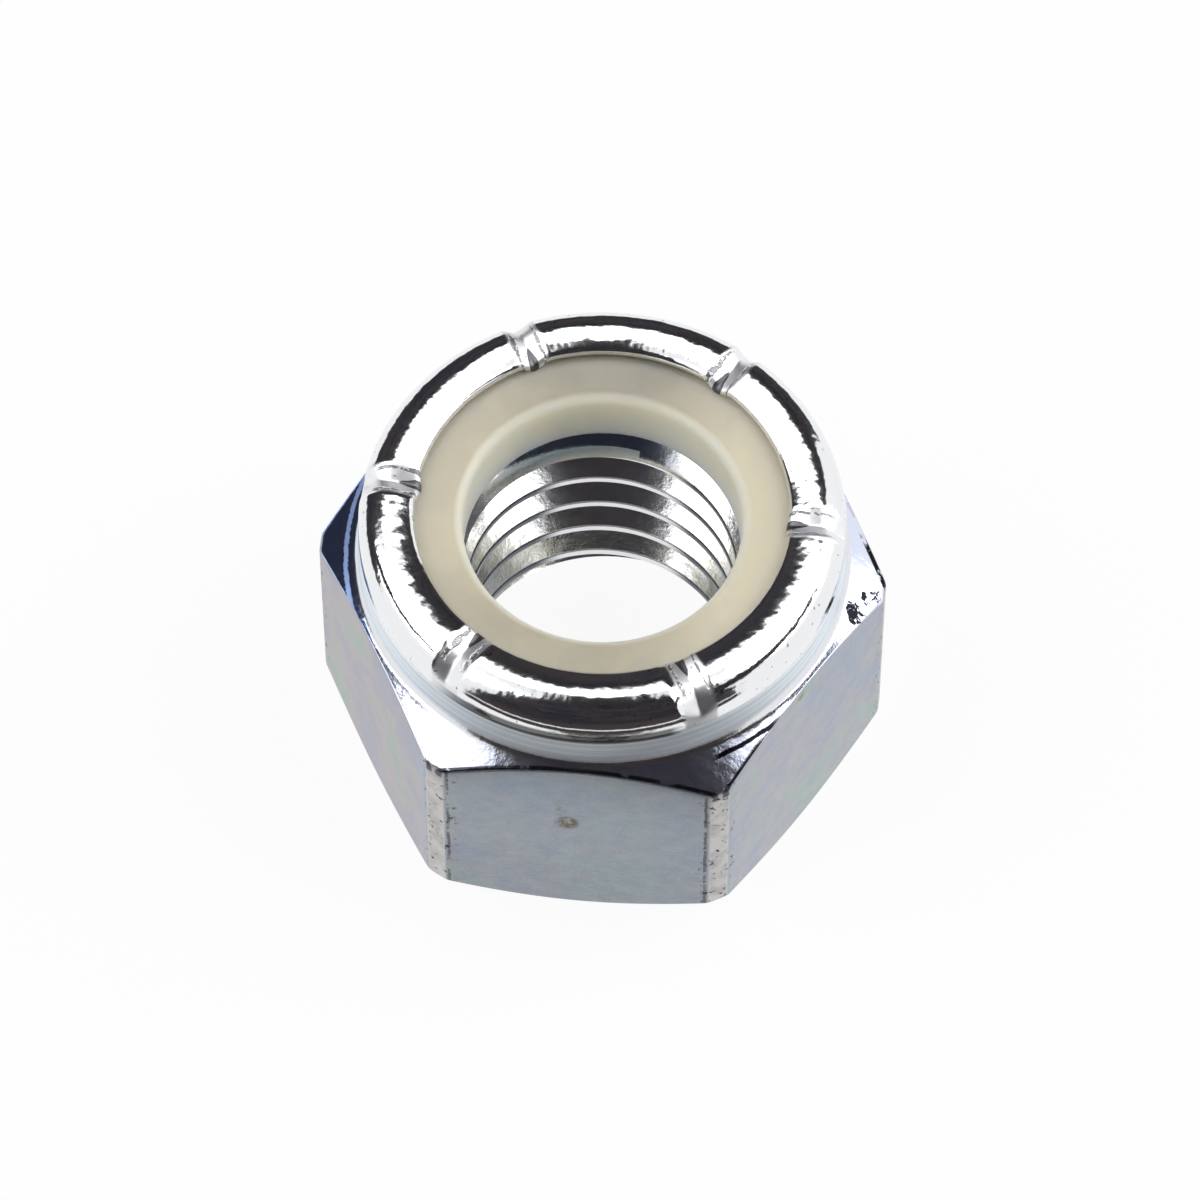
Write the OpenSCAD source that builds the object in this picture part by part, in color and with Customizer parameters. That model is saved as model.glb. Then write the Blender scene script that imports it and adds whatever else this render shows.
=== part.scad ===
// Hexagon lock nut with a nylon ring held in a rolled collar.
// The bearing face lies on z = 0, the axis of the thread is Z, and two corners lie on the X axis.

/* [Thread] */
// Nominal diameter of the thread
thread_d = 10; // [9:0.25:10.5]
// Pitch of the thread
thread_pitch = 1.5; // [1:0.25:1.75]
// How much wider the bore is than the basic minor diameter
minor_allowance = 0.22; // [0:0.02:0.3]
// How much wider the mouths of the bore are than the thread
mouth_allowance = 0.4; // [0.2:0.1:0.6]
// Slope of the mouth in the bearing face, measured from the face
lower_mouth_angle = 40; // [30:1:50]
// Slope of the mouth under the nylon ring, measured from its seat
upper_mouth_angle = 55; // [30:1:60]

/* [Hexagon] */
// Width across the flats
across_flats = 16; // [15.5:0.25:17]
// How far the six corners are cut back from sharp
corner_trim = 0.2; // [0.1:0.02:0.4]
// Height at which the upper chamfer meets the middle of a flat
hex_h = 8.35; // [8:0.05:8.6]
// Diameter of the flat bearing face
bearing_d = 15.7; // [14.6:0.1:15.8]
// Slope of the chamfer round the bearing face
lower_chamfer_angle = 28; // [15:1:35]
// Slope of the chamfer below the collar
upper_chamfer_angle = 35; // [25:1:40]

/* [Collar] */
// Height of the whole nut
nut_h = 11.3; // [11.2:0.05:11.9]
// Outer diameter of the collar
collar_d = 15.4; // [15.1:0.1:15.6]
// Thickness of the collar wall round the nylon ring
collar_wall = 0.9; // [0.7:0.05:1.1]
// Radius of the hollow between the collar and the upper chamfer
foot_round = 1.4; // [1:0.1:1.6]
// Radius of the rolled rim on its outer side
rim_round = 0.95; // [0.8:0.05:1.1]
// Radius of the rolled lip from the top of the rim inwards
lip_round = 2.4; // [1.8:0.1:4]
// How far the rolled lip reaches inwards from the outside of the collar
lip_reach = 1.8; // [1.6:0.05:2.2]
// Thickness of the rolled lip at its rounded edge
lip_t = 0.45; // [0.3:0.05:0.6]

/* [Crimp marks] */
// Number of crimp marks across the rolled rim
crimp_count = 6; // [3:1:8]
// Turn of the first crimp mark from a corner of the hexagon
crimp_turn = -2; // [-10:0.5:10]
// Radius of the tool nose that presses a mark
crimp_nose = 0.5; // [0.4:0.05:0.7]
// Depth of a crimp mark at the top of the rim
crimp_depth = 0.2; // [0.1:0.02:0.25]
// Slope of a crimp mark, falling towards the outside
crimp_slope = 14; // [5:1:20]

/* [Nylon ring] */
// Thickness of the nylon ring under the lip
ring_t = 2.15; // [1.9:0.05:2.4]
// How much narrower the ring's bore is than the thread
ring_bite = 1.2; // [0.8:0.05:1.6]
// How far the ring's top falls from the lip to its bore
ring_dish = 0.12; // [0:0.02:0.2]
// Radius of the ring's upper inner edge
ring_edge = 0.35; // [0.2:0.05:0.5]

/* [Hidden] */

hex_sides = 6;
round_fn = 96;
over = 1;
minor_share = 1.0825;

bore_r = (thread_d - minor_share * thread_pitch + minor_allowance) / 2;
mouth_r = (thread_d + mouth_allowance) / 2;
lower_mouth_h = (mouth_r - bore_r) * tan(lower_mouth_angle);
upper_mouth_h = (mouth_r - bore_r) * tan(upper_mouth_angle);

flat_r = across_flats / 2;
sharp_r = flat_r / cos(180 / hex_sides);
corner_r = sharp_r - corner_trim;
bearing_r = bearing_d / 2;
bearing_edge_z = (corner_r - bearing_r) * tan(lower_chamfer_angle);

collar_r = collar_d / 2;
rim_r = collar_r - rim_round;
rim_z = nut_h - rim_round;

// The lip's rounded edge touches the lip's upper arc from inside.
nose_r = collar_r - lip_reach + lip_t / 2;
lip_lean = asin((rim_r - nose_r) / (lip_round - lip_t / 2));
nose_z = nut_h - lip_round + (lip_round - lip_t / 2) * cos(lip_lean);

seat_r = collar_r - collar_wall;
ring_top_z = nose_z - lip_t / 2;
seat_z = ring_top_z - ring_t;
ring_bore_r = (thread_d - ring_bite) / 2;

// The foot's arc touches the collar wall and the slope of the upper chamfer.
foot_r = collar_r + foot_round;
foot_z = chamfer_z(foot_r) + foot_round / cos(upper_chamfer_angle);
touch_r = foot_r - foot_round * sin(upper_chamfer_angle);

// Height of the upper chamfer at radius r
function chamfer_z(r) = hex_h - (r - flat_r) * tan(upper_chamfer_angle);

// Half section of the chamfered hexagon, up to the centre of the foot's arc
module chamfered_section() {
    polygon([
        [0, 0],
        [bearing_r, 0],
        [corner_r, bearing_edge_z],
        [corner_r, chamfer_z(corner_r)],
        [touch_r, chamfer_z(touch_r)],
        [foot_r, foot_z],
        [0, foot_z]
    ]);
}

// Half section of the collar with its rolled rim, before it is hollowed
module collar_section() {
    translate([0, foot_z])
        square([collar_r, rim_z - foot_z]);
    translate([0, foot_z])
        square([rim_r, nut_h - foot_z]);
    translate([rim_r, rim_z])
        circle(r = rim_round, $fn = round_fn);
}

// Half section of the rolled lip: its underside is flat, and its rounded edge runs into its upper arc
module lip_section() {
    translate([nose_r, nose_z])
        circle(r = lip_t / 2, $fn = round_fn);
    intersection() {
        translate([rim_r, nut_h - lip_round])
            circle(r = lip_round, $fn = round_fn);
        polygon([
            [nose_r, ring_top_z],
            [seat_r, ring_top_z],
            [seat_r, nut_h + over],
            [nose_r - lip_t * sin(lip_lean), nose_z + lip_t * cos(lip_lean)],
            [nose_r, nose_z]
        ]);
    }
}

// Half section of the room inside the collar: the ring's seat and the opening in the lip
module room_section() {
    polygon([
        [0, seat_z],
        [seat_r, seat_z],
        [seat_r, ring_top_z],
        [0, ring_top_z]
    ]);
    difference() {
        translate([0, seat_z])
            square([rim_r, nut_h - seat_z + over]);
        lip_section();
    }
}

module nut_section() {
    difference() {
        union() {
            chamfered_section();
            collar_section();
        }
        translate([foot_r, foot_z])
            circle(r = foot_round, $fn = round_fn);
        room_section();
    }
}

// Bore at the thread's minor diameter, open from the bearing face to the ring's seat
module bore() {
    translate([0, 0, -over])
        cylinder(r = bore_r, h = nut_h + 2 * over, $fn = round_fn);
    cylinder(r1 = mouth_r, r2 = bore_r, h = lower_mouth_h, $fn = round_fn);
    translate([0, 0, seat_z - upper_mouth_h])
        cylinder(r1 = bore_r, r2 = mouth_r, h = upper_mouth_h, $fn = round_fn);
}

// One mark of the crimping tool, whose nose lies across the rim and falls towards the outside
module crimp_mark() {
    translate([rim_r, 0, nut_h - crimp_depth + crimp_nose])
        rotate([0, 90 + crimp_slope, 0])
            cylinder(r = crimp_nose, h = 2 * (rim_r - nose_r + rim_round), center = true, $fn = round_fn);
}

module crimp_marks() {
    for (i = [0:crimp_count - 1])
        rotate([0, 0, crimp_turn + i * 360 / crimp_count])
            crimp_mark();
}

module nut_body() {
    color("silver")
        difference() {
            intersection() {
                cylinder(r = sharp_r, h = nut_h, $fn = hex_sides);
                rotate_extrude($fn = round_fn)
                    nut_section();
            }
            bore();
            crimp_marks();
        }
}

module nylon_ring() {
    edge_r = ring_bore_r + ring_edge;
    edge_z = ring_top_z - ring_dish - ring_edge;
    color("ivory")
        rotate_extrude($fn = round_fn) {
            polygon([
                [ring_bore_r, seat_z],
                [seat_r, seat_z],
                [seat_r, ring_top_z],
                [nose_r, ring_top_z],
                [edge_r, edge_z + ring_edge],
                [edge_r, edge_z],
                [ring_bore_r, edge_z]
            ]);
            translate([edge_r, edge_z])
                circle(r = ring_edge, $fn = round_fn);
        }
}

nut_body();
nylon_ring();
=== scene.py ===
import math
from collections import Counter

import bpy
from mathutils import Matrix, Vector


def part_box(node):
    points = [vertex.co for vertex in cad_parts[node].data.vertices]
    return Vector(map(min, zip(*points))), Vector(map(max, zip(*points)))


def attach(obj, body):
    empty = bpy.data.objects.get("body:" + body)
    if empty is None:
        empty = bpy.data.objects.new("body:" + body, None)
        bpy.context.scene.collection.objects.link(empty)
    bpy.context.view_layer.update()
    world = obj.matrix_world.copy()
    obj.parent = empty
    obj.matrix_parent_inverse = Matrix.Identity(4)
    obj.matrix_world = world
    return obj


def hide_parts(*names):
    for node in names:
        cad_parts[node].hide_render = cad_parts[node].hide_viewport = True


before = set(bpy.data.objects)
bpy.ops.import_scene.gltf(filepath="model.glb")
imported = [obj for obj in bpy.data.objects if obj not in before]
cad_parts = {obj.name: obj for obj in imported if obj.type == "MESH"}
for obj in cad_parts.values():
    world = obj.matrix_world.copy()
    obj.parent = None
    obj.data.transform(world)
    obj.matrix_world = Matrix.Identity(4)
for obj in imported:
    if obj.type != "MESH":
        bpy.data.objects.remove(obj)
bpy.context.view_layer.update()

bpy.context.scene.view_settings.view_transform = "Standard"
mm = 0.001
fullTurn = 2 * math.pi
weldGap = 0.0005               # mm, closer points become one


# Selection and edit mode

def pickOnly(thing):
    bpy.ops.object.select_all(action="DESELECT")
    thing.select_set(True)
    bpy.context.view_layer.objects.active = thing


def editAll(thing):
    pickOnly(thing)
    bpy.ops.object.mode_set(mode="EDIT")
    bpy.ops.mesh.select_all(action="SELECT")


def applyModifier(thing, kind, settings):
    pickOnly(thing)
    modifier = thing.modifiers.new(kind.title(), kind)
    for name, value in settings.items():
        setattr(modifier, name, value)
    bpy.ops.object.modifier_apply(modifier=modifier.name)


def shrinkToMetres(thing):
    # Everything is drawn with 1 mm as one unit, and comes down to metres when it is done.
    pickOnly(thing)
    thing.scale = (mm, mm, mm)
    bpy.ops.object.transform_apply(location=True, rotation=True, scale=True)


# Drawing a half section in the plane of X and Z, as a chain of edges

def startSection(name, x, z):
    # A plane shrunk to one point is the pen's first point.
    bpy.ops.object.select_all(action="DESELECT")
    bpy.ops.mesh.primitive_plane_add(size=1, location=(0, 0, 0))
    drawn = bpy.context.active_object
    drawn.name = name
    drawn.data.name = name
    bpy.ops.object.mode_set(mode="EDIT")
    bpy.ops.mesh.select_all(action="SELECT")
    bpy.ops.mesh.merge(type="CENTER")
    bpy.ops.transform.translate(value=(x, 0, z))
    drawn["penX"] = x
    drawn["penZ"] = z
    return drawn


def lineTo(drawn, x, z, pieces):
    # The line is cut into this many pieces.
    stepX = (x - drawn["penX"]) / pieces
    stepZ = (z - drawn["penZ"]) / pieces
    for _ in range(pieces):
        bpy.ops.mesh.extrude_region_move(TRANSFORM_OT_translate={"value": (stepX, 0, stepZ)})
    drawn["penX"] = x
    drawn["penZ"] = z


def arcAbout(drawn, x, z, degrees, steps):
    # Counted from the pen's own place round the centre, and positive from X towards Z.
    bpy.ops.mesh.spin(steps=steps, angle=math.radians(degrees), center=(x, 0, z), axis=(0, 1, 0))
    radius = math.hypot(drawn["penX"] - x, drawn["penZ"] - z)
    angle = math.atan2(drawn["penZ"] - z, drawn["penX"] - x) + math.radians(degrees)
    drawn["penX"] = x + radius * math.cos(angle)
    drawn["penZ"] = z + radius * math.sin(angle)


def closeSection():
    bpy.ops.mesh.select_all(action="SELECT")
    bpy.ops.mesh.remove_doubles(threshold=4 * weldGap)


def pickVertices(thing, wanted):
    bpy.ops.object.mode_set(mode="EDIT")
    bpy.ops.mesh.select_all(action="DESELECT")
    bpy.ops.object.mode_set(mode="OBJECT")
    for index in wanted:
        thing.data.vertices[index].select = True
    bpy.ops.object.mode_set(mode="EDIT")


def openVertices(thing):
    uses = Counter(key for face in thing.data.polygons for key in face.edge_keys)
    return sorted({index for key, count in uses.items() if count == 1 for index in key})


def roundPoints(drawn, points, radius, steps):
    bpy.ops.object.mode_set(mode="OBJECT")
    reach = 20 * weldGap
    near = [v.index for v in drawn.data.vertices
            if any((v.co - Vector((x, 0, z))).length < reach for x, z in points)]
    pickVertices(drawn, near)
    bpy.ops.mesh.bevel(offset=radius, segments=steps, affect="VERTICES")


def turnSection(drawn, columns):
    bpy.ops.mesh.select_all(action="SELECT")
    bpy.ops.mesh.spin(steps=columns, angle=fullTurn, center=(0, 0, 0), axis=(0, 0, 1))
    bpy.ops.mesh.select_all(action="SELECT")
    bpy.ops.mesh.remove_doubles(threshold=weldGap)
    bpy.ops.mesh.normals_make_consistent(inside=False)
    bpy.ops.object.mode_set(mode="OBJECT")


def smoothStep(value, low, high):
    share = min(1, max(0, (value - low) / (high - low)))
    return share * share * (3 - 2 * share)


# Camera

camera = {
    "azimuth": 5.86,          # degrees, turned from looking along +Y
    "elevation": 59.2,        # degrees above the floor
    "distance": 260.94,       # mm from the nut
    "lens": 240,
    "sensor": 36,
    "aside": -0.075,          # mm to the right of the nut's axis
    "above": 2.853,           # mm up in the picture
}


def viewAxes(azimuth, elevation):
    a = math.radians(azimuth)
    e = math.radians(elevation)
    ahead = Vector((-math.sin(a) * math.cos(e), math.cos(a) * math.cos(e), -math.sin(e)))
    right = Vector((math.cos(a), math.sin(a), 0))
    return ahead, right, right.cross(ahead)


def addCamera():
    ahead, right, up = viewAxes(camera["azimuth"], camera["elevation"])
    place = right * camera["aside"] + up * camera["above"] - ahead * camera["distance"]
    turn = Matrix((right, up, -ahead)).transposed()
    bpy.ops.object.camera_add(location=place * mm, rotation=turn.to_euler())
    made = bpy.context.active_object
    made.name = "photoCamera"
    made.data.lens = camera["lens"]
    made.data.sensor_width = camera["sensor"]
    made.data.clip_start = 0.01    # m
    made.data.clip_end = 100
    bpy.context.scene.camera = made
    print("camera set")


addCamera()


# Shader sockets as values

class Shade:
    # Wraps a socket, so that an expression on it adds its Math nodes.
    def __init__(self, tree, socket=None):
        self.tree = tree
        self.socket = socket

    def make(self, kind, settings=None, inputs=None, output=0):
        node = self.tree.nodes.new(kind)
        for name, value in (settings or {}).items():
            if name == "stops":
                while len(node.color_ramp.elements) < len(value):
                    node.color_ramp.elements.new(1)
                for element, (place, colour) in zip(node.color_ramp.elements, value):
                    element.position = place
                    element.color = (*colour, 1)
            else:
                setattr(node, name, value)
        for name, value in (inputs or {}).items():
            if isinstance(value, Shade):
                self.tree.links.new(value.socket, node.inputs[name])
            else:
                node.inputs[name].default_value = value
        return Shade(self.tree, node.outputs[output] if node.outputs else None)

    def sibling(self, output):
        return Shade(self.tree, self.socket.node.outputs[output])

    def maths(self, operation, *values):
        return self.make("ShaderNodeMath", {"operation": operation}, dict(enumerate(values)))

    def __add__(self, other):
        return self.maths("ADD", self, other)

    def __radd__(self, other):
        return self.maths("ADD", other, self)

    def __sub__(self, other):
        return self.maths("SUBTRACT", self, other)

    def __rsub__(self, other):
        return self.maths("SUBTRACT", other, self)

    def __mul__(self, other):
        return self.maths("MULTIPLY", self, other)

    def __pow__(self, other):
        return self.maths("POWER", self, other)

    def abs(self):
        return self.maths("ABSOLUTE", self)

    def largest(self, other):
        return self.maths("MAXIMUM", self, other)

    def smallest(self, other):
        return self.maths("MINIMUM", self, other)

    def between(self, low, high, lowest=0.0, highest=1.0):
        # Rises smoothly from lowest to highest while the value goes from low to high.
        inputs = {"Value": self, "From Min": low, "From Max": high, "To Min": lowest, "To Max": highest}
        return self.make("ShaderNodeMapRange", {"interpolation_type": "SMOOTHSTEP"}, inputs)

    def near(self, middle, width):
        return 1 - (self - middle).abs().between(width * 0.5, width)

    def mix(self, first, second):
        # self is the factor.
        return self.make("ShaderNodeMix", {"data_type": "RGBA"}, {0: self, 6: first, 7: second}, 2)

    def tintedBy(self, other):
        # Multiplies two colours.
        settings = {"data_type": "RGBA", "blend_type": "MULTIPLY"}
        return self.make("ShaderNodeMix", settings, {0: 1.0, 6: self, 7: other}, 2)

    def noise(self, vector, scale, detail=3.0, roughness=0.55, distortion=0.0):
        inputs = {"Vector": vector, "Scale": scale, "Detail": detail, "Roughness": roughness,
                  "Distortion": distortion}
        return self.make("ShaderNodeTexNoise", {}, inputs)

    def stretch(self, vector, x, y, z):
        return self.make("ShaderNodeVectorMath", {"operation": "MULTIPLY"}, {0: vector, 1: (x, y, z)})

    def bump(self, height, strength, distance):
        inputs = {"Height": height, "Strength": strength, "Distance": distance}
        return self.make("ShaderNodeBump", {}, inputs)


def newMaterial(name):
    material = bpy.data.materials.new(name)
    material.use_nodes = True
    tree = material.node_tree
    tree.nodes.clear()
    shade = Shade(tree)
    place = shade.make("ShaderNodeTexCoord", output="Object")
    place = shade.stretch(place, 1 / mm, 1 / mm, 1 / mm)       # positions in mm
    return material, shade, place


def finishMaterial(shade, shader):
    shade.make("ShaderNodeOutputMaterial", {}, {"Surface": shader})


def parts(place):
    x = place.make("ShaderNodeSeparateXYZ", {}, {"Vector": place})
    return x, x.sibling("Y"), x.sibling("Z")


# Light and floor

studio = {
    "lamps": {                 # azimuth, elevation, then distance, width and height in mm, and radiance
        "leftLamp": (-94, 44, 1000, 960, 960, 2.4),
        "rightLamp": (86, 42, 1000, 920, 1000, 3.1),
        "overheadLamp": (0, 69, 1000, 890, 400, 1.4),
    },
    "worldColour": (1.0, 1.0, 1.0),
    "worldFill": 0.12,         # what the world gives to dull surfaces
    "floorColour": (0.93, 0.93, 0.935),
    "floorShade": 0.985,       # how much darker its grain may be
    "floorGlow": 0.93,         # share of the floor's look that is plain white
    "floorSize": 6000,         # mm
    "flagColour": (0.034, 0.034, 0.048),
    "flagBrown": (0.062, 0.052, 0.050),
    "flagDistance": 800,       # mm
    "flags": {                 # outlines in azimuth and elevation, in degrees
        "frontFlag": [
            (128, -2), (132, 15), (135, 30), (129, 46), (126, 58), (138, 70), (110, 82), (20, 79),
            (-20, 79), (-110, 82), (-145, 70), (-138, 58), (-139, 46), (-139, 30), (-134, 15),
            (-130, -2),
        ],
        "backFlag": [
            (-84, -2), (-79, 14), (-70, 29), (-58, 38), (-44, 50), (-20, 55),
            (12, 55), (36, 54), (50, 50), (46, 42), (38, 30), (39, 16), (41, -2),
        ],
        "rightStrip": [
            (78, 26), (80, 34), (100, 36), (118, 37), (137, 38), (137, 14), (118, 20), (100, 23),
        ],
        "leftStrip": [
            (-70, 20), (-70, 34), (-88, 35), (-114, 34), (-114, 30), (-88, 24),
        ],
    },
    "cloths": {"nearCloth": (13.15, 19.5), "farCloth": (22, 900)},     # mm in front of the nut
    "clothHalfAngle": 48,      # degrees that they reach to each side
    "clothHeight": 0.3,        # mm over the floor
}


def studioPoint(azimuth, elevation, distance):
    # The far side of the nut, as the camera sees it, is azimuth 0, and right is positive.
    a = math.radians(azimuth - camera["azimuth"])
    e = math.radians(elevation)
    return Vector((math.sin(a) * math.cos(e), math.cos(a) * math.cos(e), math.sin(e))) * distance


def addLamp(name, azimuth, elevation, distance, width, height, radiance):
    place = studioPoint(azimuth, elevation, distance) * mm
    turn = place.to_track_quat("Z", "Y").to_euler()
    bpy.ops.object.light_add(type="AREA", location=place, rotation=turn)
    lamp = bpy.context.active_object
    lamp.name = name
    lamp.data.shape = "RECTANGLE"
    lamp.data.size = width * mm
    lamp.data.size_y = height * mm
    lamp.data.energy = radiance * math.pi * width * height * mm * mm


def addFlag(name, outline, distance):
    # A dark cloth that the polished rim mirrors, cut to this outline of azimuths and elevations.
    bpy.ops.object.select_all(action="DESELECT")
    bpy.ops.mesh.primitive_circle_add(vertices=len(outline), radius=1, fill_type="TRIFAN")
    flag = bpy.context.active_object
    flag.name = name
    rim = [v for v in flag.data.vertices if v.co.length > 0.5]
    hub = next(v for v in flag.data.vertices if v.co.length < 0.5)
    for vertex, (azimuth, elevation) in zip(rim, outline):
        vertex.co = studioPoint(azimuth, elevation, distance) * mm
    hub.co = sum((v.co for v in rim), Vector()) / len(rim)
    hub.co *= distance * mm / hub.co.length
    flag.data.materials.append(flagMaterial())
    flag.visible_camera = False


def addFloorCloth(name, start, end):
    # Only mirrors see it: the rim's outer side mirrors it where the real one mirrors a dark room.
    wide = math.tan(math.radians(studio["clothHalfAngle"]))
    corners = []
    for ahead in (start, end):
        for side in (-1, 1):
            corners.append((side * ahead * wide, -ahead))
    bpy.ops.object.select_all(action="DESELECT")
    bpy.ops.mesh.primitive_plane_add(size=1)
    cloth = bpy.context.active_object
    cloth.name = name
    turn = math.radians(camera["azimuth"])
    for vertex, (x, y) in zip(cloth.data.vertices, corners):
        turnedX = x * math.cos(turn) - y * math.sin(turn)
        turnedY = x * math.sin(turn) + y * math.cos(turn)
        vertex.co = Vector((turnedX, turnedY, studio["clothHeight"])) * mm
    cloth.data.materials.append(flagMaterial())
    cloth.visible_camera = False
    cloth.visible_shadow = False
    cloth.visible_diffuse = False


def flagMaterial():
    found = bpy.data.materials.get("darkCloth")
    if found:
        return found
    material, shade, place = newMaterial("darkCloth")
    weave = shade.noise(place, 0.012, 4.0, 0.7).between(0.40, 0.60)
    colour = weave.mix((*studio["flagColour"], 1), (*studio["flagBrown"], 1))
    finishMaterial(shade, shade.make("ShaderNodeBsdfDiffuse", {}, {"Color": colour}))
    return material


def seenByMirror(shade):
    path = shade.make("ShaderNodeLightPath")
    seen = path.largest(path.sibling("Is Glossy Ray"))
    return seen.largest(path.sibling("Is Transmission Ray"))


def addFloor():
    bpy.ops.object.select_all(action="DESELECT")
    bpy.ops.mesh.primitive_plane_add(size=studio["floorSize"] * mm)
    floor = bpy.context.active_object
    floor.name = "paleFloor"
    material, shade, place = newMaterial("paleFloor")
    grain = shade.noise(place, 0.05)
    tone = [c * studio["floorShade"] for c in studio["floorColour"]]
    colour = grain.mix((*tone, 1), (*studio["floorColour"], 1))
    lit = shade.make("ShaderNodeBsdfDiffuse", {}, {"Color": colour})
    white = shade.make("ShaderNodeEmission", {}, {"Color": (1, 1, 1, 1), "Strength": 1.0})
    share = seenByMirror(shade) * studio["floorGlow"]
    finishMaterial(shade, shade.make("ShaderNodeMixShader", {}, {0: share, 1: lit, 2: white}))
    floor.data.materials.append(material)


def addWorld():
    world = bpy.data.worlds.new("whiteRoom")
    bpy.context.scene.world = world
    world.use_nodes = True
    world.node_tree.nodes.clear()
    shade = Shade(world.node_tree)
    seen = seenByMirror(shade)
    strength = seen + (1 - seen) * studio["worldFill"]
    inputs = {"Color": (*studio["worldColour"], 1), "Strength": strength}
    background = shade.make("ShaderNodeBackground", {}, inputs)
    shade.make("ShaderNodeOutputWorld", {}, {"Surface": background})


for lampName, lampValues in studio["lamps"].items():
    addLamp(lampName, *lampValues)
for flagName, outline in studio["flags"].items():
    addFlag(flagName, outline, studio["flagDistance"])
for clothName, reach in studio["cloths"].items():
    addFloorCloth(clothName, *reach)
addFloor()
addWorld()
print("light and floor set")


# The steel nut. Sizes in mm.

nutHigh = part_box("nut_body")[1] / mm
ringLow, ringHigh = (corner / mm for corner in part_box("nylon_ring"))

nut = {
    "columns": 480,            # round the nut
    "gather": 0.6,             # how much the columns crowd towards the corners
    "mouthRadius": 5.2,
    "lowerMouthSlope": 40,     # degrees
    "upperMouthSlope": 55,
    "bearingRadius": 7.85,
    "lowerChamfer": 28,        # degrees
    "upperChamfer": 35,
    "hexHeight": 8.35,         # of the chamfer over the middle of a flat
    "collarRadius": 7.7,
    "footRound": 0.5,
    "rimRound": 0.95,
    "lipRound": 2.4,
    "lipReach": 1.8,
    "lipThickness": 0.45,
    "markRound": 0.004,        # of the bottom of a crimp mark
    "coreRadius": 3.8,         # of the hole before the thread is cut
    "edgeRound": 0.09,
    "cornerSoftness": 0.07,    # of the edges where the flats meet the corners
    "smoothAngle": 32,         # degrees
}

thread = {
    "pitch": 1.5,
    "crestRadius": 4.298,
    "rootRadius": 5.0,
    "crestWidth": 0.28,
    "flank": 30,               # degrees
    "edgeRound": 0.1,
    "crestRound": 0.06,
    "stepsPerTurn": 120,
    "turns": 9,
    "turnsBelow": 2,           # of them that start below the bearing face
    "phase": 1.017,            # mm that the helix is raised
}

hexSides = 6
flatRadius = nutHigh.y
cornerRadius = nutHigh.x
nutHeight = nutHigh.z


def chamferHeight(r):
    return nut["hexHeight"] - (r - flatRadius) * math.tan(math.radians(nut["upperChamfer"]))


footX = nut["collarRadius"] + nut["footRound"]
footZ = chamferHeight(footX) + nut["footRound"] / math.cos(math.radians(nut["upperChamfer"]))


def shoulderHeight(r):
    # The surface above the flats: the chamfer's cone, then the hollow below the collar.
    touch = footX - nut["footRound"] * math.sin(math.radians(nut["upperChamfer"]))
    if r >= touch:
        return chamferHeight(r)
    across = min(footX - r, nut["footRound"])
    return footZ - math.sqrt(nut["footRound"] ** 2 - across ** 2)


def drawNutSection():
    core = nut["coreRadius"]
    mouth = nut["mouthRadius"]
    lowerRise = (mouth - core) * math.tan(math.radians(nut["lowerMouthSlope"]))
    upperRise = (mouth - core) * math.tan(math.radians(nut["upperMouthSlope"]))
    bearing = nut["bearingRadius"]
    bearingZ = (cornerRadius - bearing) * math.tan(math.radians(nut["lowerChamfer"]))
    cornerZ = chamferHeight(cornerRadius)
    lean = nut["upperChamfer"]
    touchX = footX - nut["footRound"] * math.sin(math.radians(lean))
    rimX = nut["collarRadius"] - nut["rimRound"]
    rimZ = nutHeight - nut["rimRound"]
    noseRound = nut["lipThickness"] / 2
    noseX = nut["collarRadius"] - nut["lipReach"] + noseRound
    lipLean = math.degrees(math.asin((rimX - noseX) / (nut["lipRound"] - noseRound)))
    noseZ = nutHeight - nut["lipRound"] + (nut["lipRound"] - noseRound) * math.cos(math.radians(lipLean))

    drawn = startSection("steel_nut", core, lowerRise)
    lineTo(drawn, mouth, 0, 4)
    lineTo(drawn, bearing, 0, 5)
    lineTo(drawn, cornerRadius, bearingZ, 4)
    lineTo(drawn, cornerRadius, cornerZ, 18)
    lineTo(drawn, touchX, chamferHeight(touchX), 6)
    arcAbout(drawn, footX, footZ, lean - 90, 12)
    lineTo(drawn, nut["collarRadius"], rimZ, 8)
    arcAbout(drawn, rimX, rimZ, 90, 26)
    arcAbout(drawn, rimX, nutHeight - nut["lipRound"], lipLean, 10)
    arcAbout(drawn, noseX, noseZ, 180 - lipLean, 9)
    lineTo(drawn, ringHigh.x, ringHigh.z, 2)
    lineTo(drawn, ringHigh.x, ringLow.z, 4)
    lineTo(drawn, mouth, ringLow.z, 3)
    lineTo(drawn, core, ringLow.z - upperRise, 4)
    lineTo(drawn, core, lowerRise, 3)
    closeSection()
    corners = [(cornerRadius, bearingZ), (cornerRadius, cornerZ), (bearing, 0), (mouth, 0)]
    roundPoints(drawn, corners, nut["edgeRound"], 3)
    turnSection(drawn, nut["columns"])
    return drawn


def hexRadius(angle, trimmed):
    # How far the hexagon reaches at this angle, with its corner cut to the radius trimmed.
    side = fullTurn / hexSides
    fromFlat = (angle % side) - side / 2
    sharp = flatRadius / math.cos(fromFlat)
    soft = nut["cornerSoftness"]
    overlap = max(0, soft - abs(sharp - trimmed))
    return min(sharp, trimmed) - overlap * overlap / (4 * soft)


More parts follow.
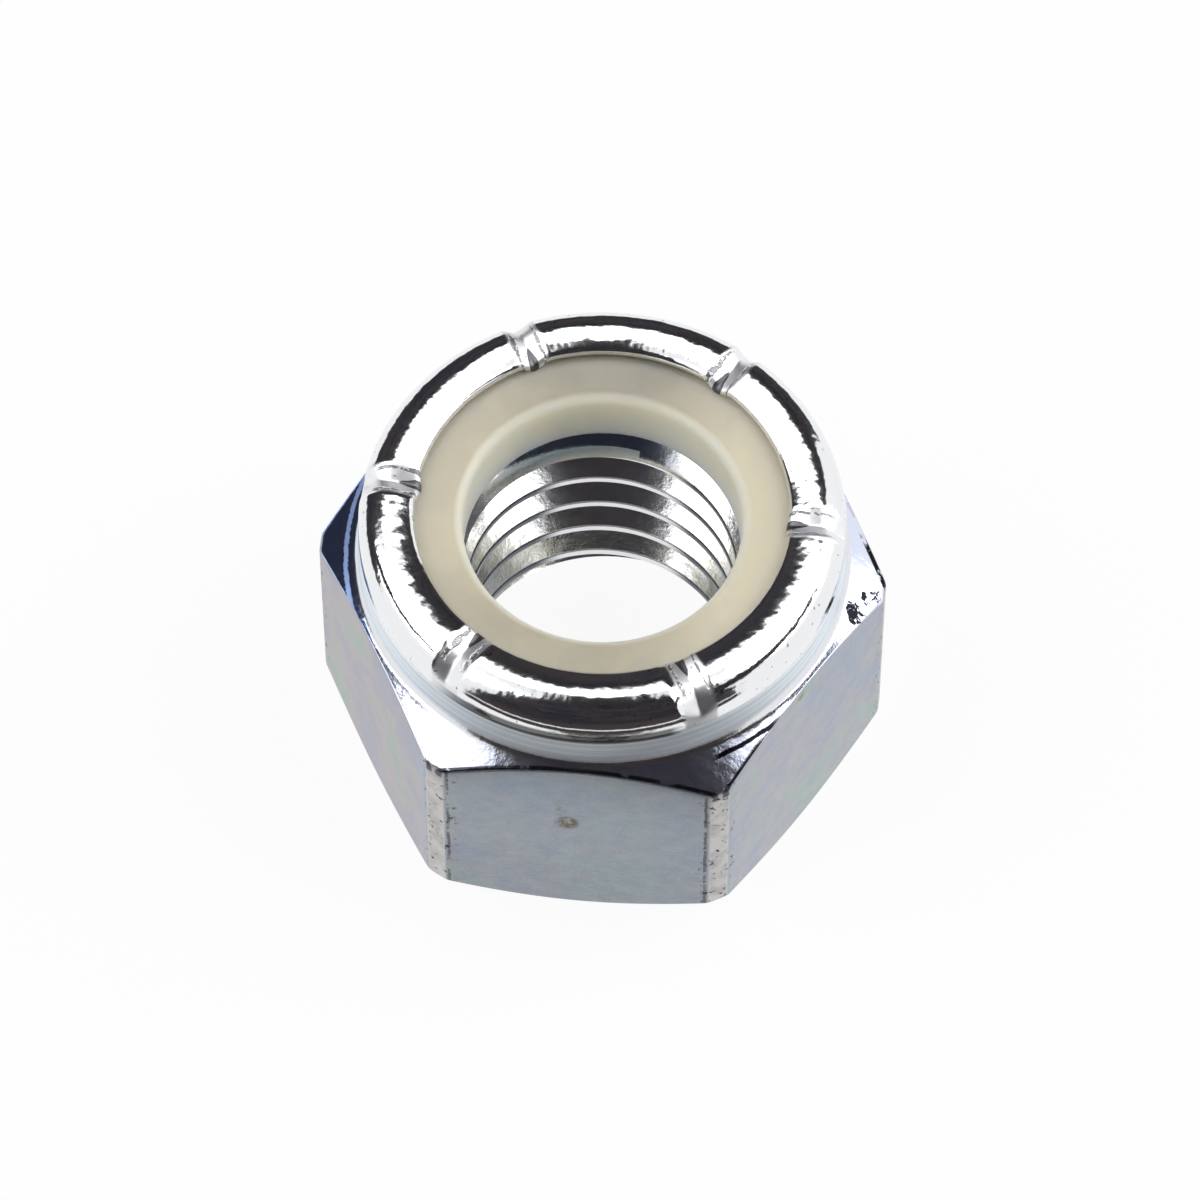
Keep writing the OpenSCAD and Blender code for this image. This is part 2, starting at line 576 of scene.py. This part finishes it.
# Each crimp mark's turn from its corner in degrees, the widths of its two sides, its depth and how hard
# the lip is pushed in, in mm.
crimpMarks = [
    {"turn": 0.9, "before": 0.46, "after": 0.56, "depth": 0.24, "push": 0.10},
    {"turn": -2.3, "before": 0.50, "after": 0.50, "depth": 0.24, "push": 0.08},
    {"turn": -2.6, "before": 0.52, "after": 0.48, "depth": 0.25, "push": 0.09},
    {"turn": -3.6, "before": 0.50, "after": 0.62, "depth": 0.27, "push": 0.12},
    {"turn": -4.0, "before": 0.60, "after": 0.56, "depth": 0.22, "push": 0.10},
    {"turn": -0.4, "before": 0.74, "after": 0.50, "depth": 0.26, "push": 0.08},
]


def shapeNut(drawn):
    low = nut["bearingRadius"]
    high = nut["collarRadius"]
    bearingZ = (cornerRadius - low) * math.tan(math.radians(nut["lowerChamfer"]))
    cornerZ = chamferHeight(cornerRadius)
    slope = math.tan(math.radians(nut["lowerChamfer"]))
    for vertex in drawn.data.vertices:
        x, y, z = vertex.co
        r = math.hypot(x, y)
        angle = math.atan2(y, x)
        angle -= nut["gather"] * math.sin(hexSides * angle) / hexSides
        if r > high + 0.001 and z < footZ:
            reach = hexRadius(angle, cornerRadius)
            upness = min(1, max(0, (z - bearingZ) / (cornerZ - bearingZ)))
            inner = high + (low - high) * (1 - upness)
            newR = r - (cornerRadius - reach) * max(0, (r - inner) / (cornerRadius - inner))
            lift = shoulderHeight(newR) - shoulderHeight(r)
            z += lift * upness - (r - newR) * slope * (1 - upness)
            r = newR
        r, z = pressMarks(r, angle, z)
        vertex.co = (r * math.cos(angle), r * math.sin(angle), z)


def markDistance(angle, r):
    # How far across the nearest crimp mark this place lies, in mm, and which mark it is.
    index = round(angle / (fullTurn / hexSides)) % hexSides
    centre = math.radians(60 * index + crimpMarks[index]["turn"])
    off = (angle - centre + math.pi) % fullTurn - math.pi
    return off * r, index


def noteMarks(thing):
    # The material finds the marks by this value at each vertex.
    across = thing.data.attributes.new("acrossMark", "FLOAT", "POINT")
    for vertex in thing.data.vertices:
        x, y, z = vertex.co
        across.data[vertex.index].value = abs(markDistance(math.atan2(y, x), math.hypot(x, y))[0])


crimpTool = {                  # mm, the same for all six marks
    "reach": 1.25,             # how far down from the top it works
    "fullBelow": 0.35,         # it is pressed in full down to here
    "innerRadius": 5.7,
    "lip": (5.9, 6.5),         # radii over which the push at the lip dies away
    "side": (6.9, 7.7),        # radii over which the mark turns down the rim's outer side
    "sideDrop": 0.3,           # shares of the depth that are added there, down
    "sidePush": 0.55,          # and inwards
}


def pressMarks(r, angle, z):
    rimFrom = nutHeight - crimpTool["reach"]
    if z < rimFrom or r < crimpTool["innerRadius"]:
        return r, z
    distance, index = markDistance(angle, r)
    mark = crimpMarks[index]
    across = abs(distance) / (mark["after"] if distance > 0 else mark["before"])
    if across >= 1:
        return r, z
    groove = 1 - math.sqrt(across * across + nut["markRound"]) + nut["markRound"]
    topness = smoothStep(z, rimFrom, nutHeight - crimpTool["fullBelow"])
    outness = smoothStep(r, *crimpTool["side"])
    z -= groove * mark["depth"] * topness * (1 + crimpTool["sideDrop"] * outness)
    r -= groove * mark["depth"] * crimpTool["sidePush"] * outness * topness
    r -= groove * mark["push"] * (1 - smoothStep(r, *crimpTool["lip"]))
    return r, z


def cutThread(drawn):
    # One groove's section is screwed up the axis as a tap, which is then taken out of the nut.
    half = thread["crestWidth"] / 2
    crest = thread["crestRadius"]
    root = thread["rootRadius"]
    pitch = thread["pitch"]
    flank = (root - crest) * math.tan(math.radians(thread["flank"]))
    start = -thread["turnsBelow"] * pitch + thread["phase"]
    tap = startSection("threadTap", crest, start)
    lineTo(tap, crest, start + half, 1)
    lineTo(tap, root, start + half + flank, 1)
    lineTo(tap, root, start + pitch - half - flank, 1)
    lineTo(tap, crest, start + pitch - half, 1)
    lineTo(tap, crest, start + pitch, 1)
    crests = [(crest, start + half), (crest, start + pitch - half)]
    roots = [(root, start + half + flank), (root, start + pitch - half - flank)]
    roundPoints(tap, crests, thread["crestRound"], 4)
    roundPoints(tap, roots, thread["edgeRound"], 3)
    bpy.ops.object.mode_set(mode="OBJECT")
    settings = {
        "angle": fullTurn, "screw_offset": pitch, "iterations": thread["turns"],
        "steps": thread["stepsPerTurn"], "render_steps": thread["stepsPerTurn"],
        "use_merge_vertices": True, "merge_threshold": weldGap,
    }
    applyModifier(tap, "SCREW", settings)
    editAll(tap)
    bpy.ops.mesh.remove_doubles(threshold=weldGap)
    for below in (True, False):
        # Each end is closed to a point on the axis.
        bpy.ops.object.mode_set(mode="OBJECT")
        rim = [i for i in openVertices(tap) if (tap.data.vertices[i].co.z < nutHeight / 2) == below]
        pickVertices(tap, rim)
        bpy.ops.mesh.extrude_region_move(TRANSFORM_OT_translate={"value": (0, 0, 0)})
        bpy.ops.mesh.merge(type="CENTER")
    bpy.ops.mesh.select_all(action="SELECT")
    bpy.ops.mesh.normals_make_consistent(inside=False)
    bpy.ops.object.mode_set(mode="OBJECT")
    applyModifier(drawn, "BOOLEAN", {"operation": "DIFFERENCE", "solver": "MANIFOLD", "object": tap})
    bpy.data.objects.remove(tap)


def buildNut():
    drawn = drawNutSection()
    shapeNut(drawn)
    cutThread(drawn)
    noteMarks(drawn)
    shrinkToMetres(drawn)
    pickOnly(drawn)
    bpy.ops.object.shade_smooth_by_angle(angle=math.radians(nut["smoothAngle"]))
    applyModifier(drawn, "WEIGHTED_NORMAL", {"keep_sharp": True, "weight": 60})
    drawn.data.materials.clear()
    return drawn


zinc = {                       # linear colours of the plating, and of painted shade and reflections
    "flat": (0.275, 0.325, 0.395),
    "flatLight": (0.365, 0.410, 0.455),
    "flatPaintedShade": (0.84, 0.85, 0.84),     # painted shade: the flats are multiplied by this at their foot
    "flatPaintedLight": (1.10, 1.13, 1.12),    # and by this painted light at their top
    "rim": (0.86, 0.87, 0.89),
    "neck": (0.90, 0.96, 1.00),
    "neckShade": 0.82,         # how much darker its rings may be
    "thread": (0.78, 0.79, 0.81),
    # painted reflection: a dark blue tint on the back of the upper mouth
    "mouth": (0.36, 0.44, 0.58),
    # painted shade: the thread's crests darker at both sides
    "crest": (0.10, 0.11, 0.13),
    # painted shade: a dark band on the front of the collar's wall
    "wallShade": (0.05, 0.05, 0.045),
    "chamfer": (0.72, 0.77, 0.92),
    # painted reflection: the chamfer's dark blue tint at the left
    "chamferLeftReflection": (0.42, 0.58, 1.00),
    "worn": (0.52, 0.50, 0.47),
    "wornDark": (0.34, 0.33, 0.33),
    "film": [                  # the passivation film's tints along a cloud of noise
        (0.30, (0.36, 0.42, 0.56)),
        (0.42, (0.46, 0.40, 0.48)),
        (0.52, (0.54, 0.46, 0.45)),
        (0.62, (0.43, 0.50, 0.40)),
        (0.74, (0.37, 0.47, 0.49)),
    ],
    "filmShares": (0.20, 0.40, 0.18),  # everywhere, and more of it at the left and at the right
    "stain": (0.30, 0.26, 0.16),
    # painted shade: a dark line beside the front corners' edges
    "edgeShadeLine": (0.11, 0.10, 0.09),
    # dark pits, and the painted shade of slits, wedges and the chamfer's edge
    "pitAndShade": (0.045, 0.045, 0.055),
    # torn plating, and the painted shade at the collar's foot
    "tearAndShade": (0.008, 0.008, 0.011),
    "bump": 0.000028,          # m
}

# Where the finishes, and the painted shade and reflections, change. A pair is where one starts and where
# it is in full, in mm.
zones = {
    "flat": (7.950, 7.990),            # out towards the nearest flat
    "flatTop": 8.6,
    # the next three place the painted shade and light on the flats
    "flatLevel": (0.5, 8.0),
    "flatFront": (7.90, 7.95),         # only the front flat gets painted shade at its foot
    "flatLeft": (4.6, 5.4),
    "flatSides": (3.5, 6.0),
    "rim": (9.80, 9.94),
    "rimInside": (5.6, 5.8),
    "rimTop": (10.5, 11.1),
    "neck": (7.55, 7.65),
    "neckOutside": 8.20,
    "neckFoot": (8.55, 8.80),
    "chamfer": (7.80, 7.95),
    "chamferFoot": (7.2, 7.3),
    # painted reflection on the chamfer at the left
    "chamferLeftReflection": (6.6, 7.2),
    "bearing": (0.02, 0.05),
    # painted shade on the crests, at both sides
    "crest": (4.315, 4.345),
    "crestSides": (1.6, 2.6),
    "corner": (8.93, 9.0),
    # painted reflection in the back of the mouth
    "mouth": (7.30, 7.60),
    "mouthTop": 8.62,
    "mouthOutside": (5.20, 5.24),
    "mouthBack": (2.2, 4.0),
    "mouthRight": (0.8, 2.4),
}

# Wear and marks of this one nut, and where shade is painted, in mm. A band is its middle and its half
# width.
wearAndPaintedShade = {
    # painted shade on the collar's front wall
    "paintedWallShade": (9.97, 0.30),
    "wallFront": (6.0, 6.9),
    "wallRight": (2.8, 3.3),
    "cornerPits": (8.80, 8.98),
    # painted shade beside the front corners
    "cornerLine": (8.985, 0.028),
    "cornerLineFront": (7.70, 7.82),
    "stain": ((-0.30, -8.0, 5.15), 0.20, 0.48),        # place, then where it fades out
    "faintStain": ((-0.55, -8.0, 5.9), 0.15, 0.45),
    "nick": ((6.72, -4.36, 8.04), 0.08, 0.24),         # on the upper edge of the right flat
    "slitPlace": 0.38,         # from the middle of a crimp mark
    "slitWidths": (0.03, 0.10),
    "slitOutside": (7.15, 7.35),
    "wedge": (0.0, 0.20),      # the wedge of painted shade where a mark meets the lip
    "wedgeOutside": (5.9, 6.7),
    "mark": (0.45, 0.62),
    "edge": (7.84, 7.89),      # painted shade where the chamfer meets the flats
    "edgeFront": (7.55, 7.70),
    "edgeRight": [(4.45, 4.60), (5.5, 5.9), (5.0, 5.4)],
    "tornSpots": [             # place, how ragged, then where it fades out
        ((8.22, -1.20, 8.20), 0.9, 0.34, 0.42),
        ((8.62, -0.45, 7.95), 1.2, 0.26, 0.34),
    ],
    "ridge": (7.78, 7.82),
    "ridgeBack": [(0.0, 0.15), (1.5, 1.8)],
    "ridgeRight": (7, 8),
    # painted shade along the collar's foot
    "foot": (8.13, 0.09),
    "footRight": [(4.1, 4.4), (5.9, 6.6)],
    "footFront": (3.5, 4.5),
    "stripe": (8.14, 0.10),
    "stripeLeft": (6.9, 7.2),
}


def flatness(x, y):
    # How far out a point lies towards the flat that it is nearest to.
    found = None
    for index in range(3):
        angle = math.radians(30 + 60 * index)
        reach = (x * math.cos(angle) + y * math.sin(angle)).abs()
        found = reach if found is None else found.largest(reach)
    return found


def rgba(colour):
    return (*colour, 1)


def spot(shade, place, middle, inner, outer, ragged=0.0):
    # 1 up to the inner distance from its middle, and 0 from the outer one.
    away = shade.make("ShaderNodeVectorMath", {"operation": "DISTANCE"}, {0: place, 1: middle}, 1)
    return 1 - (away + ragged).between(inner, outer)


def streakPlace(shade, r, z):
    # The same all round the axis, so that noise on it makes rings.
    return shade.make("ShaderNodeCombineXYZ", {}, {"X": r * 9.0, "Y": z * 9.0})


def withinSpan(value, rise, fall):
    # 1 only between the two: it comes in over rise and goes out over fall.
    return value.between(*rise) * (1 - value.between(*fall))


def crimpSlits(shade, place, r, across):
    # The crimping tool's two edges leave thin ragged slits across the rim, and a wedge at the lip, both
    # coloured with painted shade.
    ragged = shade.noise(place, 5.0, 2.0, 0.7).between(0.40, 0.50)
    wander = (shade.noise(place, 2.2, 2.0) - 0.5) * 0.22
    wide = shade.noise(place, 0.5, 1.0).between(0.4, 0.6, *wearAndPaintedShade["slitWidths"])
    fromSlit = ((across + wander).abs() - wearAndPaintedShade["slitPlace"]).abs()
    slit = (1 - fromSlit.between(wide * 0.6, wide)) * ragged
    wedge = 1 - (across + wander * 0.5).abs().between(*wearAndPaintedShade["wedge"]) - r.between(*wearAndPaintedShade["wedgeOutside"])
    slit = (slit * 0.8).largest(wedge.between(0.05, 0.20))
    return slit * (1 - r.between(*wearAndPaintedShade["slitOutside"]))


def chamferEdgeShade(shade, place, x, front, towardsFlat):
    # A broken line of painted shade where the chamfer meets the flats. It is strongest in front.
    inFront = front.between(*wearAndPaintedShade["edgeFront"])
    rise, fall, ahead = wearAndPaintedShade["edgeRight"]
    atRight = withinSpan(x, rise, fall) * front.between(*ahead)
    broken = shade.noise(place, 2.0, 2.0, 0.6)
    edge = broken.between(0.54, 0.58) * 0.25 + broken.between(0.36, 0.42) * inFront + atRight
    return towardsFlat.between(*wearAndPaintedShade["edge"]) * edge.smallest(1.0)


def tornPlatingAndFootShade(shade, place, x, y, front, r, towardsFlat):
    # On the chamfer at the right corner, torn plating, and painted shade along the foot of the collar
    # beside the front one.
    torn = shade.noise(place, 1.7, 3.0, 0.7)
    spots = 0.0
    for middle, ragged, inner, outer in wearAndPaintedShade["tornSpots"]:
        spots = spot(shade, place, middle, inner, outer, (torn - 0.5) * ragged).largest(spots)
    spots = spots * shade.noise(place, 2.6, 4.0, 0.7, 1.0).between(0.44, 0.50)
    ridge = towardsFlat.between(*wearAndPaintedShade["ridge"]) * withinSpan(y, *wearAndPaintedShade["ridgeBack"])
    ridge = ridge * x.between(*wearAndPaintedShade["ridgeRight"]) * torn.between(0.36, 0.46)
    # Painted shade along the foot of the collar
    foot = (r + (torn - 0.5) * 0.1).near(*wearAndPaintedShade["foot"]) * withinSpan(x, *wearAndPaintedShade["footRight"])
    foot = foot * front.between(*wearAndPaintedShade["footFront"])
    return spots.largest(ridge).largest(foot)


def steelMaterial():
    material, shade, place = newMaterial("zincPlating")
    x, y, z = parts(place)
    left = 0 - x
    front = 0 - y
    r = (x * x + y * y) ** 0.5
    towardsFlat = flatness(x, y)

    onFlat = towardsFlat.between(*zones["flat"]) * (zones["flatTop"] - z).between(0.0, 0.05)
    onRim = z.between(*zones["rim"]) * r.between(*zones["rimInside"])
    onNeck = r.between(*zones["neck"]) * (zones["neckOutside"] - r).between(0.0, 0.15)
    onNeck = onNeck * z.between(*zones["neckFoot"]) * (1 - onRim)
    onChamfer = r.between(*zones["chamfer"]) * z.between(*zones["chamferFoot"])
    onChamfer = onChamfer * (1 - onNeck) * (1 - onFlat)
    onBearing = 1 - z.between(*zones["bearing"])
    # Painted shade on the thread's crests at both sides
    paintedCrestShade = (1 - r.between(*zones["crest"])) * x.abs().between(*zones["crestSides"])
    onCorner = r.between(*zones["corner"]) * (1 - onFlat)
    # Painted reflection: a dark blue tint at the back of the upper mouth
    paintedMouthReflection = z.between(*zones["mouth"]) * (1 - r.between(*zones["mouthOutside"]))
    paintedMouthReflection = paintedMouthReflection * (zones["mouthTop"] - z).between(0.0, 0.02) * y.between(*zones["mouthBack"])
    paintedMouthReflection = paintedMouthReflection * (1 - x.between(*zones["mouthRight"]))

    # The brushed and mottled flats, with the passivation's tints
    mottle = shade.noise(place, 1.6, 5.0, 0.62)
    grain = shade.noise(place, 9.0, 3.0, 0.6)
    cloud = shade.noise(place, 0.34, 4.0, 0.6, 0.8)
    film = shade.make("ShaderNodeValToRGB", {"stops": zinc["film"]}, {"Fac": cloud})
    brushed = shade.noise(shade.stretch(place, 1.5, 1.5, 12.0), 1.0, 4.0, 0.7)
    tone = (mottle * 0.35 + grain * 0.35 + brushed * 0.3).between(0.40, 0.60)
    flat = tone.mix(rgba(zinc["flat"]), rgba(zinc["flatLight"]))
    everywhere, moreLeft, moreRight = zinc["filmShares"]
    tinted = everywhere + left.between(*zones["flatSides"]) * moreLeft
    tinted = tinted + x.between(*zones["flatSides"]) * moreRight
    flat = tinted.mix(flat, film)
    # Painted shade: the front flat darker towards its foot and the left flat darker; painted light on
    # the others
    paintedFlatShading = z.between(*zones["flatLevel"]).largest(1 - front.between(*zones["flatFront"]))
    paintedFlatShading = paintedFlatShading * (1 - left.between(*zones["flatLeft"]) * 0.45)
    flat = flat.tintedBy(paintedFlatShading.mix(rgba(zinc["flatPaintedShade"]), rgba(zinc["flatPaintedLight"])))

    # The other surfaces, each over the one before
    streaks = shade.noise(streakPlace(shade, r, z), 1.0, 3.0, 0.6).between(0.35, 0.65)
    turned = shade.noise(streakPlace(shade, r, 0.0), 2.2, 4.0, 0.7).between(0.35, 0.65)
    neck = streaks.mix(rgba([c * zinc["neckShade"] for c in zinc["neck"]]), rgba(zinc["neck"]))
    colour = onNeck.mix(rgba(zinc["thread"]), neck)
    colour = onBearing.mix(colour, turned.mix(rgba(zinc["flatLight"]), rgba(zinc["thread"])))
    colour = paintedCrestShade.mix(colour, rgba(zinc["crest"]))
    colour = onFlat.mix(colour, flat)
    colour = paintedMouthReflection.mix(colour, rgba(zinc["mouth"]))
    # Painted reflection: the chamfer tinted dark blue at the left
    chamfer = left.between(*zones["chamferLeftReflection"]).mix(rgba(zinc["chamfer"]), rgba(zinc["chamferLeftReflection"]))
    colour = onChamfer.mix(colour, chamfer)
    colour = onRim.mix(colour, rgba(zinc["rim"]))
    # Painted shade: a dark band round the front of the collar's wall
    paintedWallShade = z.near(*wearAndPaintedShade["paintedWallShade"]) * front.between(*wearAndPaintedShade["wallFront"])
    paintedWallShade = paintedWallShade * (1 - x.between(*wearAndPaintedShade["wallRight"]))
    colour = (paintedWallShade * 0.90).mix(colour, rgba(zinc["wallShade"]))

    # Worn and pitted corners, and a line of painted shade beside the front ones
    patchy = shade.noise(place, 1.3, 3.0, 0.6).between(0.35, 0.60)
    worn = patchy.mix(rgba(zinc["wornDark"]), rgba(zinc["worn"]))
    colour = (onCorner * 0.85).mix(colour, worn)
    pitted = shade.noise(place, 4.2, 3.0, 0.7).between(0.60, 0.68) * r.between(*wearAndPaintedShade["cornerPits"])
    colour = pitted.mix(colour, rgba(zinc["pitAndShade"]))
    # Painted shade: a dark broken line beside the edges of the front corners
    worked = shade.noise(place, 2.2, 3.0, 0.7)
    paintedCornerShade = (r + (worked - 0.5) * 0.06).near(*wearAndPaintedShade["cornerLine"])
    paintedCornerShade = paintedCornerShade * front.between(*wearAndPaintedShade["cornerLineFront"])
    paintedCornerShade = paintedCornerShade * shade.noise(place, 1.1, 3.0, 0.7).between(0.40, 0.54)
    colour = (paintedCornerShade * 0.85).mix(colour, rgba(zinc["edgeShadeLine"]))

    # Stains
    soiled = shade.noise(place, 2.6, 4.0, 0.7)
    blot = soiled.between(0.32, 0.52) * spot(shade, place, *wearAndPaintedShade["stain"])
    faint = soiled.between(0.48, 0.62) * spot(shade, place, *wearAndPaintedShade["faintStain"]) * 0.6
    colour = blot.largest(faint).mix(colour, rgba(zinc["stain"]))
    nick = spot(shade, place, *wearAndPaintedShade["nick"], (soiled - 0.5) * 0.5)
    colour = nick.mix(colour, rgba(zinc["stain"]))

    # Marks of the tools, with painted shade in their creases, along the chamfer's edge and at the
    # collar's foot
    across = shade.make("ShaderNodeAttribute", {"attribute_name": "acrossMark"}, {}, 2)
    # The slits and the wedge are coloured with painted shade; the specks are the rim's own dark specks
    slit = crimpSlits(shade, place, r, across) * onRim
    specks = shade.noise(place, 6.0, 1.0, 0.5).between(0.72, 0.76) * onRim
    colour = (slit.largest(specks * 0.7) * 0.9).mix(colour, rgba(zinc["pitAndShade"]))
    # Painted shade along the chamfer's edge
    edge = chamferEdgeShade(shade, place, x, front, towardsFlat) * onChamfer
    colour = (edge * 0.9).mix(colour, rgba(zinc["pitAndShade"]))
    # Torn plating, and painted shade along the collar's foot
    torn = tornPlatingAndFootShade(shade, place, x, y, front, r, towardsFlat) * onChamfer
    colour = torn.mix(colour, rgba(zinc["tearAndShade"]))

    # Gloss: the share of roughness that each surface adds
    stripe = (r + (grain - 0.5) * 0.12).near(*wearAndPaintedShade["stripe"])
    stripe = stripe * left.between(*wearAndPaintedShade["stripeLeft"]) * onChamfer
    inMark = (1 - across.between(*wearAndPaintedShade["mark"])) * onRim
    rough = 0.16 + onFlat * 0.24 + onNeck * 0.52 + onCorner * 0.16 - onRim * 0.06 - onChamfer * 0.03
    rough = rough + stripe * 0.30 + inMark * 0.30 + onBearing * (0.08 + turned * 0.14)
    rough = rough + (grain - 0.5) * 0.10 + blot * 0.3 + pitted * 0.3

    # Relief, strongest on the top of the rim
    orangePeel = shade.noise(place, 2.8, 1.0, 0.4)
    fine = shade.noise(place, 12.0, 2.0, 0.5)
    lathe = shade.noise(streakPlace(shade, r, z), 3.0, 2.0, 0.5)
    onTop = onRim * z.between(*zones["rimTop"], 0.15, 1.0)
    height = orangePeel * (0.25 - onRim * 0.15 + onTop * 0.40 + onChamfer * 0.10) * (1 - onFlat * 0.6)
    height = height + fine * (0.10 - onRim * 0.06)
    height = height + lathe * onNeck * 0.4 + turned * onBearing * 0.5 - pitted * 0.8 - slit * 1.2
    normal = shade.bump(height, 1.0, zinc["bump"])
    inputs = {"Base Color": colour, "Metallic": 1.0, "Roughness": rough, "Normal": normal}
    finishMaterial(shade, shade.make("ShaderNodeBsdfPrincipled", {}, inputs))
    return material


steelNut = buildNut()
steelNut.data.materials.append(steelMaterial())
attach(steelNut, "root")
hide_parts("nut_body")
print("steel nut built:", len(steelNut.data.polygons), "faces")


# The nylon ring. Sizes in mm.

ring = {
    "columns": 240,            # round the ring
    "dish": 0.12,              # how far the top sinks from the lip to the bore
    "dishRadius": 6.125,
    "edgeRound": 0.35,
    "boreRadius": 4.4,
    "smoothAngle": 40,         # degrees
}


def buildRing():
    bore = ring["boreRadius"]
    edge = ring["edgeRound"]
    top = ringHigh.z
    drawn = startSection("nylon_insert", bore, ringLow.z)
    lineTo(drawn, bore, top - ring["dish"] - edge, 10)
    arcAbout(drawn, bore + edge, top - ring["dish"] - edge, -90, 10)
    lineTo(drawn, ring["dishRadius"], top, 14)
    lineTo(drawn, ringHigh.x, top, 3)
    lineTo(drawn, ringHigh.x, ringLow.z, 6)
    lineTo(drawn, bore, ringLow.z, 8)
    closeSection()
    turnSection(drawn, ring["columns"])
    shrinkToMetres(drawn)
    pickOnly(drawn)
    bpy.ops.object.shade_smooth_by_angle(angle=math.radians(ring["smoothAngle"]))
    return drawn


nylon = {                      # linear colours, with painted light and shade
    # the first is the top in painted shade, the next the top with painted light
    "top": (0.385, 0.365, 0.295),
    "topPaintedLight": (0.74, 0.675, 0.52),
    # painted light: the bore's wall is paler than the top
    "bore": (0.92, 0.885, 0.75),
    "boreEnd": (4.40, 4.75),   # mm, the radii over which it turns into the top's colour
    "left": (1.0, 5.5),        # mm from the middle, where painted light makes the top paler
    "right": (0.5, 5.5),
    "front": (3.5, 5.5),
    "roughness": 0.42,
    "lightReach": (1.0, 0.85, 0.55),   # how far red, green and blue light spread inside it
    "lightScale": 0.0018,      # m
    "bump": 0.00005,           # m
}


def nylonMaterial():
    material, shade, place = newMaterial("naturalNylon")
    cloud = shade.noise(place, 0.6, 3.0)
    x, y, z = parts(place)
    r = (x * x + y * y) ** 0.5
    left = 0 - x
    front = 0 - y
    atRight = x.between(*nylon["right"])
    # Painted light: the top is paler at the left, the right and the front, and darker at the back, with
    # some random cloud
    paintedLightAndMottle = left.between(*nylon["left"]) * 0.65 + atRight * 1.1 + cloud.between(0.4, 0.6) * 0.12
    paintedLightAndMottle = paintedLightAndMottle + front.between(*nylon["front"]) * (0.30 - atRight * 0.30)
    top = paintedLightAndMottle.mix(rgba(nylon["top"]), rgba(nylon["topPaintedLight"]))
    # Painted light on the bore's wall
    colour = (1 - r.between(*nylon["boreEnd"])).mix(top, rgba(nylon["bore"]))
    normal = shade.bump(shade.noise(place, 3.0, 3.0), 0.2, nylon["bump"])
    inputs = {
        "Base Color": colour, "Roughness": nylon["roughness"], "Normal": normal,
        "Subsurface Weight": 1.0, "Subsurface Radius": nylon["lightReach"],
        "Subsurface Scale": nylon["lightScale"],
    }
    finishMaterial(shade, shade.make("ShaderNodeBsdfPrincipled", {}, inputs))
    return material


nylonInsert = buildRing()
nylonInsert.data.materials.append(nylonMaterial())
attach(nylonInsert, "root")
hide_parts("nylon_ring")
print("nylon ring built:", len(nylonInsert.data.polygons), "faces")
